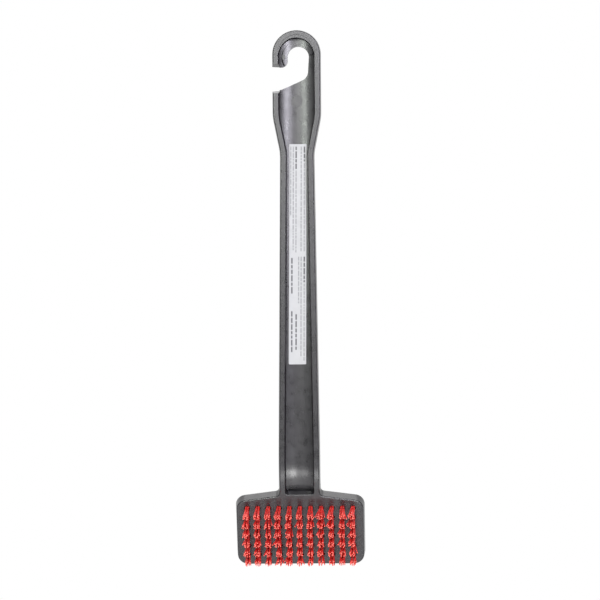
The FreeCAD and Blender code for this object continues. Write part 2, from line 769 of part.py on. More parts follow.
nodes = [handle_body(), label()]
nodes += [tuft_column(column) for column in range(1, COLUMNS + 1)]
nodes += [anchor_column(column) for column in range(1, COLUMNS + 1)]
for node in nodes:
    node.Label = node.Name
doc.recompute()
for thing in doc.Objects:
    check(thing)

os.makedirs("parts", exist_ok=True)
for node in nodes:
    node.Shape.exportStep(f"parts/{node.Label}.step")
    print(node.Label, len(node.Shape.Solids), "solids", round(node.Shape.Volume, 1), "mm3")
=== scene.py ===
import logging
import math
import random
from dataclasses import dataclass
from enum import Enum

import bpy
from mathutils import Matrix, Vector


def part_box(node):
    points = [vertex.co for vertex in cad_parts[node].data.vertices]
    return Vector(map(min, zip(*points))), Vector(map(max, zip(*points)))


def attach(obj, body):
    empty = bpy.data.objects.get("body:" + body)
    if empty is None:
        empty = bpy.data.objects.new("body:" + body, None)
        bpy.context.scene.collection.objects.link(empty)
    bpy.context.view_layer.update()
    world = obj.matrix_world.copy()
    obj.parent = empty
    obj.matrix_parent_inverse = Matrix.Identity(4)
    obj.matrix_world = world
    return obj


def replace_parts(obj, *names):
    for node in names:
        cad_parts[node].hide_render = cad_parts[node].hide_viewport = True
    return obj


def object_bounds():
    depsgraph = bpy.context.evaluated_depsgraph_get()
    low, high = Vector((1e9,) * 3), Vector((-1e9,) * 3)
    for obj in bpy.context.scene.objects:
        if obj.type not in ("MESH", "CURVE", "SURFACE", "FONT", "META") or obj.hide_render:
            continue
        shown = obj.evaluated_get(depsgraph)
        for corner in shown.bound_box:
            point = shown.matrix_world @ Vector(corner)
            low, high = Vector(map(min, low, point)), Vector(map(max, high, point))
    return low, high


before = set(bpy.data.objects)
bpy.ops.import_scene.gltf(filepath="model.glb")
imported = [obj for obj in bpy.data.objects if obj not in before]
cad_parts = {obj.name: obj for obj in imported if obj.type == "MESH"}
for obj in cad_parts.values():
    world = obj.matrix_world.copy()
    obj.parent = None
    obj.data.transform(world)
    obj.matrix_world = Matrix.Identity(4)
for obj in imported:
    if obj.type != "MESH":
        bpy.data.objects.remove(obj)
CAD_LOW, CAD_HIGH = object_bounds()

MM = 0.001
BODY = "root"
LOG = logging.getLogger("grill_brush")

Triple = tuple[float, float, float]
Colour = Triple
Socket = bpy.types.NodeSocket


class Slot(Enum):
    """The record's material slots, by name."""

    MOULDING = "moulding"
    PAPER = "label_paper"
    BRISTLE = "bristle"
    WIRE = "anchor_wire"


@dataclass(frozen=True)
class PrintStyle:
    """How one weight of print is set: its finish, and the sizes of its bars and gaps."""

    finish: int
    half_height: float
    shortest: float
    longest: float
    gap: float


class Weight(Enum):
    """How heavy a printed line is: body text or a heading."""

    BODY = PrintStyle(finish=0, half_height=0.50 * MM, shortest=1.4 * MM, longest=5.2 * MM, gap=0.75 * MM)
    HEADING = PrintStyle(finish=1, half_height=0.62 * MM, shortest=2.6 * MM, longest=6.0 * MM, gap=1.0 * MM)


# ---------------------------------------------------------------------------------------------
# Finishes
# ---------------------------------------------------------------------------------------------


class Graph:
    """A material's node tree, with short calls that add and join its nodes."""

    def __init__(self, name: str) -> None:
        """Makes the material with its one shader.

        Args:
            name: the material's name.
        """
        self.material = bpy.data.materials.new(name)
        self.material.use_nodes = True
        self.tree = self.material.node_tree
        self.shader = next(node for node in self.tree.nodes if node.type == "BSDF_PRINCIPLED")
        self.place = self.tree.nodes.new("ShaderNodeTexCoord").outputs["Object"]

    def set(self, **values: object) -> None:
        """Sets constants on the shader's own sockets; an underscore stands for a space."""
        for name, value in values.items():
            self.shader.inputs[name.replace("_", " ")].default_value = value

    def drive(self, name: str, source: Socket) -> None:
        """Joins a node's output to one of the shader's sockets."""
        self.tree.links.new(source, self.shader.inputs[name])

    def noise(self, size: float, detail: float = 2.0, stretch: Triple = (1, 1, 1)) -> Socket:
        """Adds noise in the object's own space.

        Args:
            size: how far apart the noise's lumps are, in metres.
            detail: how many finer layers the noise has.
            stretch: how much longer the lumps are along each axis.

        Returns:
            The noise's value, about 0 to 1.
        """
        mapping = self.tree.nodes.new("ShaderNodeMapping")
        mapping.inputs["Scale"].default_value = [1 / length for length in stretch]
        self.tree.links.new(self.place, mapping.inputs["Vector"])
        noise = self.tree.nodes.new("ShaderNodeTexNoise")
        noise.inputs["Scale"].default_value = 1 / size
        noise.inputs["Detail"].default_value = detail
        self.tree.links.new(mapping.outputs["Vector"], noise.inputs["Vector"])
        return noise.outputs["Fac"]

    def span(self, value: Socket, low: float, high: float, start: float = 0.3, end: float = 0.7) -> Socket:
        """Maps a value's range onto another, and holds it inside that.

        Args:
            value: the value to map.
            low: the result at start.
            high: the result at end.
            start: where the value's range starts.
            end: where the value's range ends.

        Returns:
            The mapped value.
        """
        node = self.tree.nodes.new("ShaderNodeMapRange")
        for name, number in (("From Min", start), ("From Max", end), ("To Min", low), ("To Max", high)):
            node.inputs[name].default_value = number
        self.tree.links.new(value, node.inputs["Value"])
        return node.outputs["Result"]

    def blend(self, share: Socket, first: Colour | Socket, second: Colour | Socket) -> Socket:
        """Mixes two colours.

        Args:
            share: how much of the second colour there is, 0 to 1.
            first: the colour at 0.
            second: the colour at 1.

        Returns:
            The mixed colour.
        """
        node = self.tree.nodes.new("ShaderNodeMix")
        node.data_type = "RGBA"
        self.tree.links.new(share, node.inputs["Factor"])
        for name, colour in (("A", first), ("B", second)):
            socket = next(s for s in node.inputs if s.name == name and s.type == "RGBA")
            if isinstance(colour, tuple):
                socket.default_value = (*colour, 1.0)
            else:
                self.tree.links.new(colour, socket)
        return next(s for s in node.outputs if s.type == "RGBA")

    def math(self, operation: str, first: Socket, second: Socket | float) -> Socket:
        """Adds a math node.

        Args:
            operation: the node's operation, such as ADD.
            first: its first value.
            second: its second value, a socket or a number.

        Returns:
            The node's result.
        """
        node = self.tree.nodes.new("ShaderNodeMath")
        node.operation = operation
        self.tree.links.new(first, node.inputs[0])
        if isinstance(second, (int, float)):
            node.inputs[1].default_value = second
        else:
            self.tree.links.new(second, node.inputs[1])
        return node.outputs[0]

    def bump(self, layers: list[tuple[Socket, float]]) -> None:
        """Adds bump to the shader.

        Args:
            layers: pairs of a height, 0 to 1, and the depth in metres that 1 stands for.
        """
        normal = None
        for height, depth in layers:
            node = self.tree.nodes.new("ShaderNodeBump")
            node.inputs["Distance"].default_value = depth
            self.tree.links.new(height, node.inputs["Height"])
            if normal is not None:
                self.tree.links.new(normal, node.inputs["Normal"])
            normal = node.outputs["Normal"]
        self.drive("Normal", normal)


@dataclass(frozen=True)
class MouldedBlack:
    """Black polypropylene: satin, finely grained, with slow waves and drag lines down the tool."""

    dark: Colour = (0.0100, 0.0090, 0.0110)
    light: Colour = (0.0180, 0.0165, 0.0195)
    scuffed: Colour = (0.060, 0.058, 0.062)
    smooth: float = 0.24
    rough: float = 0.36
    scuff_share: float = 0.22
    scuff_start: float = 0.66
    scuff_end: float = 0.80
    scuff_roughness: float = 0.6
    grain_share: float = 0.4
    cloud_share: float = 0.6
    sheen: float = 0.9
    grain_size: float = 0.45 * MM
    wave_size: float = 22 * MM
    drag_size: float = 0.9 * MM
    cloud_size: float = 7 * MM
    scuff_size: float = 1.1 * MM
    grain_depth: float = 0.005 * MM
    wave_depth: float = 0.10 * MM
    drag_depth: float = 0.008 * MM

    def build(self) -> bpy.types.Material:
        """Makes the material: clouded black, with satin sheen, light scuffs and shallow bump.

        Returns:
            The material.
        """
        graph = Graph("black_polypropylene")
        grain = graph.noise(self.grain_size, detail=3)
        wave = graph.noise(self.wave_size, detail=2, stretch=(1, 1, 3))
        drag = graph.noise(self.drag_size, detail=2, stretch=(1, 1, 60))
        cloud = graph.noise(self.cloud_size, detail=4)
        worn = graph.noise(self.scuff_size, detail=5, stretch=(1, 1, 9))
        scuff = graph.span(worn, 0.0, self.scuff_share, self.scuff_start, self.scuff_end)
        base = graph.blend(graph.span(cloud, 0, 1), self.dark, self.light)
        graph.drive("Base Color", graph.blend(scuff, base, self.scuffed))
        fine = graph.math("MULTIPLY", grain, self.grain_share)
        coarse = graph.math("MULTIPLY", cloud, self.cloud_share)
        satin = graph.span(graph.math("ADD", fine, coarse), self.smooth, self.rough)
        rubbed = graph.math("MULTIPLY", scuff, self.scuff_roughness)
        graph.drive("Roughness", graph.math("ADD", satin, rubbed))
        graph.set(IOR=1.5, Specular_IOR_Level=self.sheen)
        graph.bump([(wave, self.wave_depth), (drag, self.drag_depth), (grain, self.grain_depth)])
        return graph.material


@dataclass(frozen=True)
class CoatedPaper:
    """White coated label paper with a faint fibre."""

    white: Colour = (0.47, 0.47, 0.48)
    shade: Colour = (0.43, 0.43, 0.44)
    smooth: float = 0.42
    rough: float = 0.60
    fibre_size: float = 0.5 * MM
    cloud_size: float = 9 * MM
    fibre_depth: float = 0.006 * MM
    cloud_depth: float = 0.03 * MM

    def build(self) -> bpy.types.Material:
        """Makes the material: faintly clouded paper with fine fibres.

        Returns:
            The material.
        """
        graph = Graph("coated_paper")
        fibre = graph.noise(self.fibre_size, detail=5, stretch=(1, 1, 3))
        cloud = graph.noise(self.cloud_size, detail=3)
        graph.drive("Base Color", graph.blend(graph.span(cloud, 0, 1), self.white, self.shade))
        graph.drive("Roughness", graph.span(fibre, self.smooth, self.rough))
        graph.bump([(cloud, self.cloud_depth), (fibre, self.fibre_depth)])
        return graph.material


@dataclass(frozen=True)
class PrintedInk:
    """Matt grey-black ink that sits a little unevenly on the paper."""

    name: str
    full: Colour
    thin: Colour
    smooth: float = 0.55
    rough: float = 0.75
    speckle_size: float = 0.35 * MM
    speckle_depth: float = 0.004 * MM

    def build(self) -> bpy.types.Material:
        """Makes the material: ink that is thin in small specks.

        Returns:
            The material.
        """
        graph = Graph(self.name)
        speckle = graph.noise(self.speckle_size, detail=3)
        graph.drive("Base Color", graph.blend(graph.span(speckle, 0, 1), self.full, self.thin))
        graph.drive("Roughness", graph.span(speckle, self.smooth, self.rough))
        graph.bump([(speckle, self.speckle_depth)])
        return graph.material


@dataclass(frozen=True)
class RedNylon:
    """Red nylon filament, a little translucent, with drawn lines along it."""

    deep: Colour = (0.58, 0.014, 0.018)
    bright: Colour = (0.92, 0.075, 0.060)
    cut_low: Colour = (0.92, 0.09, 0.07)
    cut_high: Colour = (0.97, 0.26, 0.20)
    scatter: Colour = (1.0, 0.25, 0.2)
    scatter_share: float = 0.35
    scatter_depth: float = 0.6 * MM
    smooth: float = 0.28
    rough: float = 0.42
    shade_size: float = 2.2 * MM
    streak_size: float = 0.28 * MM
    streak_depth: float = 0.012 * MM
    cut_smooth: float = 0.5
    cut_rough: float = 0.75
    frayed_size: float = 0.22 * MM
    frayed_depth: float = 0.03 * MM

    def side(self) -> bpy.types.Material:
        """Makes the material of a filament's side: streaked, and a little translucent.

        Returns:
            The material.
        """
        graph = Graph("red_nylon")
        shade = graph.noise(self.shade_size, detail=3)
        streak = graph.noise(self.streak_size, detail=3, stretch=(1, 2, 8))
        graph.drive("Base Color", graph.blend(graph.span(shade, 0, 1), self.deep, self.bright))
        graph.drive("Roughness", graph.span(streak, self.smooth, self.rough))
        graph.set(IOR=1.53, Subsurface_Weight=self.scatter_share, Subsurface_Scale=self.scatter_depth)
        graph.set(Subsurface_Radius=self.scatter)
        graph.bump([(streak, self.streak_depth)])
        return graph.material

    def cut(self) -> bpy.types.Material:
        """Makes the paler, frayed material of a filament's cut end.

        Returns:
            The material.
        """
        graph = Graph("red_nylon_cut")
        frayed = graph.noise(self.frayed_size, detail=4)
        graph.drive("Base Color", graph.blend(graph.span(frayed, 0, 1), self.cut_low, self.cut_high))
        graph.drive("Roughness", graph.span(frayed, self.cut_smooth, self.cut_rough))
        graph.bump([(frayed, self.frayed_depth)])
        return graph.material


@dataclass(frozen=True)
class GalvanisedWire:
    """Flat galvanised wire with a drawn grain and faint zinc bloom."""

    bright: Colour = (0.66, 0.67, 0.68)
    bloom: Colour = (0.46, 0.47, 0.48)
    smooth: float = 0.28
    rough: float = 0.5
    bloom_size: float = 0.9 * MM
    drawn_size: float = 0.12 * MM
    drawn_depth: float = 0.008 * MM

    def build(self) -> bpy.types.Material:
        """Makes the material: bright metal with duller blooms and drawn lines.

        Returns:
            The material.
        """
        graph = Graph("galvanised_wire")
        bloom = graph.noise(self.bloom_size, detail=4)
        drawn = graph.noise(self.drawn_size, detail=2, stretch=(1, 12, 12))
        graph.set(Metallic=1.0)
        graph.drive("Base Color", graph.blend(graph.span(bloom, 0, 1), self.bright, self.bloom))
        graph.drive("Roughness", graph.span(bloom, self.smooth, self.rough))
        graph.bump([(drawn, self.drawn_depth)])
        return graph.material


@dataclass(frozen=True)
class PaleFloor:
    """Plain pale floor paint with a faint mottle."""

    light: Colour = (0.83, 0.83, 0.83)
    shade: Colour = (0.79, 0.79, 0.795)
    smooth: float = 0.6
    rough: float = 0.75
    mottle_size: float = 60 * MM

    def build(self) -> bpy.types.Material:
        """Makes the material: matt paint with a slow mottle.

        Returns:
            The material.
        """
        graph = Graph("pale_floor")
        mottle = graph.noise(self.mottle_size, detail=4)
        graph.drive("Base Color", graph.blend(graph.span(mottle, 0, 1), self.light, self.shade))
        graph.drive("Roughness", graph.span(mottle, self.smooth, self.rough))
        return graph.material


# ---------------------------------------------------------------------------------------------
# Mesh work
# ---------------------------------------------------------------------------------------------


class MeshMaker:
    """Collects corners and faces, and makes one piece of them that rides on the brush."""

    def __init__(self) -> None:
        """Starts with nothing."""
        self.points: list[Vector] = []
        self.faces: list[tuple[int, ...]] = []
        self.finishes: list[int] = []
        self.smooth: list[bool] = []

    def add(
        self,
        points: list[Vector],
        faces: list[tuple[int, ...]],
        finish: int = 0,
        smooth: bool = True,
    ) -> None:
        """Adds a set of corners and its faces.

        Args:
            points: the corners.
            faces: the faces, which number these corners from 0.
            finish: which of the piece's materials the faces take.
            smooth: whether the faces are shaded smoothly.
        """
        first = len(self.points)
        self.points += points
        self.faces += [tuple(first + corner for corner in face) for face in faces]
        self.finishes += [finish] * len(faces)
        self.smooth += [smooth] * len(faces)

    def build(self, name: str, slot: Slot, materials: list[bpy.types.Material]) -> bpy.types.Object:
        """Makes the piece and rides it on the brush.

        Args:
            name: the piece's name.
            slot: not used.
            materials: the piece's materials, in the order that the faces number them.

        Returns:
            The new object.
        """
        mesh = bpy.data.meshes.new(name)
        mesh.from_pydata(self.points, [], self.faces)
        mesh.polygons.foreach_set("material_index", self.finishes)
        mesh.polygons.foreach_set("use_smooth", self.smooth)
        for material in materials:
            mesh.materials.append(material)
        mesh.update()
        piece = bpy.data.objects.new(name, mesh)
        bpy.context.scene.collection.objects.link(piece)
        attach(piece, BODY)
        LOG.info("built %s: %d faces", name, len(self.faces))
        return piece


# ---------------------------------------------------------------------------------------------
# Sub-assemblies
# ---------------------------------------------------------------------------------------------


@dataclass
class Moulding:
    """The one-piece moulding: hook, grip, handle, bend and head. Its shape is the CAD node's."""

    node: str = "handle_body"

    def dress(self, finish: MouldedBlack) -> None:
        """Gives the moulding its material.

        Args:
            finish: the moulding's finish.
        """
        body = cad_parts[self.node]
        body.data.materials[0] = finish.build()
        LOG.info("dressed %s", self.node)


@dataclass
class Anchors:
    """The flat wire anchors, driven into the head across each tuft's fold."""

    columns: int = 11

    def nodes(self) -> list[str]:
        """Returns the names of the anchors' CAD nodes."""
        return [f"anchor_column_{column:02d}" for column in range(1, self.columns + 1)]

    def dress(self, finish: GalvanisedWire) -> None:
        """Gives every anchor its material.

        Args:
            finish: the anchors' finish.
        """
        material = finish.build()
        for name in self.nodes():
            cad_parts[name].data.materials[0] = material
        LOG.info("dressed %d columns of anchors", self.columns)


@dataclass
class HeadFace:
    """The head's bristle face, as a plane that the tufts stand on."""

    tilt: float = math.radians(25)
    rows: int = 6
    anchor_length: float = 5.6 * MM
    anchor_width: float = 1.9 * MM
    anchor_depth: float = 6.15 * MM

    def __post_init__(self) -> None:
        """Works out the face's own axes from its tilt."""
        self.across = Vector((1, 0, 0))
        self.down = Vector((0, math.sin(self.tilt), -math.cos(self.tilt)))
        self.out = Vector((0, -math.cos(self.tilt), -math.sin(self.tilt)))

    def holes(self, anchor_node: str) -> list[Vector]:
        """Works out where one column's holes open, from the box round its anchors.

        Args:
            anchor_node: the CAD node that holds the column's anchors.

        Returns:
            The centre of each hole's mouth, from the top row down.
        """
        low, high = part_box(anchor_node)
        own_height = self.anchor_length * math.cos(self.tilt) + self.anchor_width * math.sin(self.tilt)
        pitch = ((high.z - low.z) - own_height) / math.cos(self.tilt) / (self.rows - 1)
        middle = (low + high) / 2 + self.out * self.anchor_depth
        return [middle + self.down * pitch * (row - (self.rows - 1) / 2) for row in range(self.rows)]

    def point(self, mouth: Vector, across: float, down: float, out: float) -> Vector:
        """Returns a point given by its distances from a hole's mouth."""
        return mouth + self.across * across + self.down * down + self.out * out


@dataclass
class TuftColumn:
    """One column of tufts. Each filament is folded round the anchor, so that both its ends show.

    A filament's legs lie in an inner or an outer layer across the hole, and are spread down it.
    """

    number: int
    face: HeadFace
    radius: float = 0.46 * MM
    length: float = 16.8 * MM
    sides: int = 10
    hole_radius: float = 2.5 * MM
    tip_radius: float = 2.9 * MM
    wall_room: float = 1.1
    far_anchor: float = 7.1 * MM
    crimp: float = 0.2 * MM
    crimp_growth: float = 1.25
    fold_shoulder: float = 0.8
    layer_gap: float = 0.02 * MM
    inner_across: float = 0.76 * MM
    outer_across: float = 1.60 * MM
    inner_down: tuple[float, ...] = (-1.56 * MM, -0.52 * MM, 0.52 * MM, 1.56 * MM)
    outer_down: tuple[float, ...] = (-1.03 * MM, 0.0, 1.03 * MM)
    pinch: float = 0.78
    leg_steps: int = 9
    ease: float = 1.1
    bow: float = 0.10 * MM
    tuft_lean: float = -0.75 * MM
    tuft_spread: float = 0.5 * MM
    lean_spread: float = 0.3 * MM
    sag_spread: float = 0.25 * MM
    trim_spread: float = 0.45 * MM
    stray_share: float = 0.10
    stray_least: float = 1.2 * MM
    stray_most: float = 2.6 * MM
    dome_share: float = 0.62
    dome_rise: float = 0.10 * MM
    dome_top: float = 0.13 * MM

    def __post_init__(self) -> None:
        """Seeds the column's own random draws."""
        self.draw = random.Random(410 + self.number)
        self.lean = 0.0

    def folds(self) -> list[tuple[float, float, float]]:
        """Lists the folded filaments in a hole.

        Returns:
            Each filament's place across, its place down, and the depth of its fold.
        """
        inner_depth = self.far_anchor + self.crimp + self.layer_gap
        outer_depth = inner_depth + 2 * self.crimp + self.layer_gap
        inner = [(self.inner_across, down, inner_depth) for down in self.inner_down]
        outer = [(self.outer_across, down, outer_depth) for down in self.outer_down]
        return inner + outer

    def tip(self, across: float, down: float) -> tuple[float, float, float]:
        """Draws where a filament ends, with a few that stray well to one side.

        Args:
            across: the leg's place across the hole.
            down: the leg's place down the face.

        Returns:
            The end's place across and down, and its height over the face.
        """
        splay = (self.tip_radius - self.radius) / (self.hole_radius - self.wall_room * self.radius)
        lean = self.lean + self.draw.gauss(0.0, self.lean_spread)
        sag = self.draw.gauss(0.0, self.sag_spread)
        if self.draw.random() < self.stray_share:
            lean += self.draw.choice((-1, -1, 1)) * self.draw.uniform(self.stray_least, self.stray_most)
        limit = self.tip_radius - self.radius
        reach = max(-limit, min(limit, down * splay + sag))
        height = self.length - abs(self.draw.gauss(0, self.trim_spread))
        return across * splay + lean, reach, height

    def half_path(self, mouth: Vector, side: int, across: float, down: float, fold: float) -> list[Vector]:
        """Draws one leg of a folded filament, from its cut end down to beside the anchor.

        Args:
            mouth: the centre of the hole's mouth.
            side: 1 or -1, the side of the anchor that the leg runs on.
            across: the leg's place across the hole.
            down: the leg's place down the face.
            fold: how deep the fold lies.

        Returns:
            Points along the leg, from the cut end.
        """
        tip_across, tip_down, height = self.tip(side * across, down)
        bow = self.draw.gauss(0, self.bow)
        root = side * across * self.pinch
        points = []
        for step in range(self.leg_steps + 1):
            share = 1 - step / self.leg_steps
            spread = share ** self.ease
            sway = bow * math.sin(math.pi * share)
            points.append(self.face.point(
                mouth,
                root + (tip_across - root) * spread + sway,
                down + (tip_down - down) * spread,
                height * share,
            ))
        # Inside the hole, the leg's depth as a share of the fold's, and how far it draws in.
        for depth, inward in ((0.35, 1.0), (0.7, 0.96), (0.9, 0.72)):
            points.append(self.face.point(mouth, side * across * inward, down, -fold * depth))
        return points

    def tube(self, maker: MeshMaker, path: list[Vector], radii: list[float]) -> None:
        """Adds a closed tube along a path, with cut ends that take the second finish.

        Args:
            maker: the mesh that the tube goes into.
            path: the points that the tube follows.
            radii: the tube's radius at each point.
        """
        start = (path[1] - path[0]).normalized()
        side = start.cross(self.face.down)
        side = side.normalized() if side.length > 1e-6 else self.face.across.copy()
        turn = self.draw.uniform(0, 2 * math.pi)
        side = Matrix.Rotation(turn, 3, start) @ side
        rings: list[Vector] = []
        last = start
        for index, (point, radius) in enumerate(zip(path, radii)):
            ahead = path[min(index + 1, len(path) - 1)] - path[max(index - 1, 0)]
            ahead.normalize()
            side = (last.rotation_difference(ahead) @ side).normalized()
            last = ahead
            up = ahead.cross(side)
            for corner in range(self.sides):
                angle = 2 * math.pi * corner / self.sides
                rings.append(point + side * (radius * math.cos(angle)) + up * (radius * math.sin(angle)))
        faces = []
        for ring in range(len(path) - 1):
            for corner in range(self.sides):
                after = (corner + 1) % self.sides
                here, there = ring * self.sides, (ring + 1) * self.sides
                faces.append((here + corner, here + after, there + after, there + corner))
        maker.add(rings, faces)
        for end, flip in ((0, True), ((len(path) - 1) * self.sides, False)):
            # A cut end is a low dome: the rim ring, a smaller ring and the middle.
            centre = path[0] if flip else path[-1]
            away = (path[0] - path[1]) if flip else (path[-1] - path[-2])
            away.normalize()
            rim = rings[end:end + self.sides]
            small = [centre + (corner - centre) * self.dome_share + away * self.dome_rise for corner in rim]
            middle = centre + away * self.dome_top
            cap = rim + small + [middle]
            inner = []
            for corner in range(self.sides):
                after = (corner + 1) % self.sides
                quad = (corner, after, self.sides + after, self.sides + corner)
                wedge = (self.sides + corner, self.sides + after, 2 * self.sides)
                inner += [quad[::-1], wedge[::-1]] if flip else [quad, wedge]
            maker.add([corner.copy() for corner in cap], inner, finish=1)

    def radii(self, count: int, fold: int) -> list[float]:
        """Works out a folded filament's radii, which are squeezed where the anchor crimps it.

        Args:
            count: how many points the filament's path has.
            fold: which of them is the fold.

        Returns:
            The radius at each point.
        """
        squeeze = self.crimp / self.radius
        near_fold = {0: squeeze, 1: squeeze * self.crimp_growth, 2: self.fold_shoulder}
        return [self.radius * near_fold.get(abs(index - fold), 1.0) for index in range(count)]

    def build(self, finish_side: bpy.types.Material, finish_cut: bpy.types.Material) -> bpy.types.Object:
        """Builds every tuft of the column as one piece, which stands for the column's CAD node.

        Args:
            finish_side: the material of the filaments' sides.
            finish_cut: the material of their cut ends.

        Returns:
            The new piece.
        """
        maker = MeshMaker()
        for mouth in self.face.holes(f"anchor_column_{self.number:02d}"):
            self.lean = self.draw.gauss(self.tuft_lean, self.tuft_spread)
            for across, down, fold in self.folds():
                right = self.half_path(mouth, 1, across, down, fold)
                left = self.half_path(mouth, -1, across, down, fold)
                bottom = [self.face.point(mouth, 0.0, down, -fold)]
                path = right + bottom + left[::-1]
                self.tube(maker, path, self.radii(len(path), fold=len(right)))
        piece = maker.build(f"nylon_tufts_{self.number:02d}", Slot.BRISTLE, [finish_side, finish_cut])
        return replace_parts(piece, f"tuft_column_{self.number:02d}")


@dataclass
class PrintLine:
    """One line of greeked print: its place across the label, and where it starts and ends."""

    offset: float
    start: float
    end: float
    weight: Weight = Weight.BODY


@dataclass
class CareLabel:
    """The care label: a thin sticker that follows the hollow floor and leans a little."""

    node: str = "label"
    lean: float = 1.8 * MM
    floor_radius: float = 40 * MM
    centreline: float = -1.5 * MM
    thickness: float = 0.15 * MM
    corner: float = 0.7 * MM
    across_steps: int = 16
    corner_steps: int = 5
    straight_steps: int = 60
    ink_height: float = 0.025 * MM
    shortest_bar: float = 1.0 * MM
    seed: int = 77

    def __post_init__(self) -> None:
        """Reads the label's place from its CAD node."""
        self.low, self.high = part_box(self.node)
        self.width = self.high.x - self.low.x - self.lean
        self.length = self.high.z - self.low.z

    def centre(self, along: float) -> float:
        """Returns the label's middle across the handle, at a distance down from its top edge."""
        top = self.high.x - self.width / 2
        return top - self.lean * along / self.length

    def point(self, along: float, offset: float, lift: float) -> Vector:
        """Returns a point over the floor.

        Args:
            along: distance down from the label's top edge.
            offset: distance from the label's middle.
            lift: height over the hollow floor.

        Returns:
            The point in the brush's own frame.
        """
        x = self.centre(along) + offset
        reach = x - self.centreline
        radius = self.floor_radius - lift
        y = self.high.y - self.floor_radius + math.sqrt(radius * radius - reach * reach)
        return Vector((x, y, self.high.z - along))

    def half_width(self, along: float) -> float:
        """Works out half the label's width, which draws in at its rounded corners.

        Args:
            along: distance down from the label's top edge.

        Returns:
            Half the width there.
        """
        from_end = min(along, self.length - along)
        if from_end >= self.corner:
            return self.width / 2
        inside = self.corner - from_end
        return self.width / 2 - self.corner + math.sqrt(self.corner ** 2 - inside ** 2)

    def stations(self) -> list[float]:
        """Lists where the sheet's rows of corners lie, closer together at its rounded ends.

        Returns:
            The rows' distances down from the label's top edge.
        """
        turns = [math.pi / 2 * step / self.corner_steps for step in range(self.corner_steps + 1)]
        arc = [self.corner * (1 - math.cos(turn)) for turn in turns]
        span = self.length - 2 * self.corner
        middle = [self.corner + span * step / self.straight_steps for step in range(1, self.straight_steps)]
        return arc + middle + [self.length - place for place in reversed(arc)]

    def sheet(self, material: bpy.types.Material) -> bpy.types.Object:
        """Builds the paper, which stands for the label's CAD node.

        Args:
            material: the paper's material.

        Returns:
            The new piece.
        """
        maker = MeshMaker()
        rows = self.stations()
        count = self.across_steps + 1
        points = []
        for lift in (0.0, self.thickness):
            for along in rows:
                half = self.half_width(along)
                for step in range(count):
                    offset = half * (2 * step / self.across_steps - 1)
                    points.append(self.point(along, offset, lift))
        over = len(rows) * count
        faces = []
        for row in range(len(rows) - 1):
            for step in range(self.across_steps):
                first = row * count + step
                under = (first, first + 1, first + count + 1, first + count)
                faces.append(under)
                faces.append(tuple(over + corner for corner in under[::-1]))
        edge = list(range(count))
        edge += [row * count + count - 1 for row in range(1, len(rows))]
        edge += [(len(rows) - 1) * count + step for step in range(count - 2, -1, -1)]
        edge += [row * count for row in range(len(rows) - 2, 0, -1)]
        maker.add(points, faces)
        # The walls join the lower sheet's edge to the upper one's, corner by corner.
        walls = [(here, over + here, over + after, after) for here, after in zip(edge, edge[1:] + edge[:1])]
        maker.faces += walls
        maker.finishes += [0] * len(walls)
        maker.smooth += [False] * len(walls)
        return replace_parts(maker.build("care_label", Slot.PAPER, [material]), self.node)

    def lines(self) -> list[PrintLine]:
        """Lists the label's lines of greeked print, in three blocks and three lone headings.

        Returns:
            The lines, from the right of the label's upper half to the left of its lower half.
        """
        body, heading = Weight.BODY, Weight.HEADING
        # Place across the label, where the line starts and where it ends, all in millimetres.
        rows = [
            (5.65, 2.1, 14.9, heading), (5.65, 16.2, 93.0, body), (2.9, 2.1, 92.0, body),
            (-1.5, 2.1, 21.4, heading), (-1.5, 22.6, 93.0, body), (-3.9, 2.1, 91.0, body),
            (-6.1, 2.1, 61.9, body),
            (5.7, 96.6, 118.6, heading), (5.7, 119.8, 186.0, body), (3.0, 96.6, 183.0, body),
            (0.9, 96.6, 137.5, body),
            (-4.9, 97.7, 129.3, heading), (-4.9, 143.4, 180.0, heading), (-1.2, 146.0, 176.8, heading),
        ]
        return [PrintLine(across * MM, start * MM, end * MM, weight) for across, start, end, weight in rows]

    def bar(self, maker: MeshMaker, start: float, end: float, offset: float, style: PrintStyle) -> None:
        """Adds one thin bar of ink, which lies on the paper.

        Args:
            maker: the mesh that the bar goes into.
            start: where the bar starts, down from the label's top edge.
            end: where it ends.
            offset: the bar's distance from the label's middle.
            style: the weight's sizes and finish.
        """
        half = style.half_height
        corners = []
        for lift in (self.thickness, self.thickness + self.ink_height):
            for along, side in ((start, -half), (start, half), (end, half), (end, -half)):
                corners.append(self.point(along, offset + side, lift))
        faces = [(0, 1, 2, 3), (7, 6, 5, 4), (0, 4, 5, 1), (1, 5, 6, 2), (2, 6, 7, 3), (3, 7, 4, 0)]
        maker.add(corners, faces, style.finish, smooth=False)

    def ink(self, grey: bpy.types.Material, black: bpy.types.Material) -> bpy.types.Object:
        """Builds the print as rows of plain bars, one for each word, with no letters.

        Args:
            grey: the ink of the body text.
            black: the ink of the headings.

        Returns:
            The new piece.
        """
        maker = MeshMaker()
        draw = random.Random(self.seed)
        for line in self.lines():
            style = line.weight.value
            along = line.start
            while along < line.end - self.shortest_bar:
                word = draw.uniform(style.shortest, style.longest)
                end = min(along + word, line.end)
                self.bar(maker, along, end, line.offset, style)
                along = end + style.gap
        return maker.build("label_print", Slot.PAPER, [grey, black])


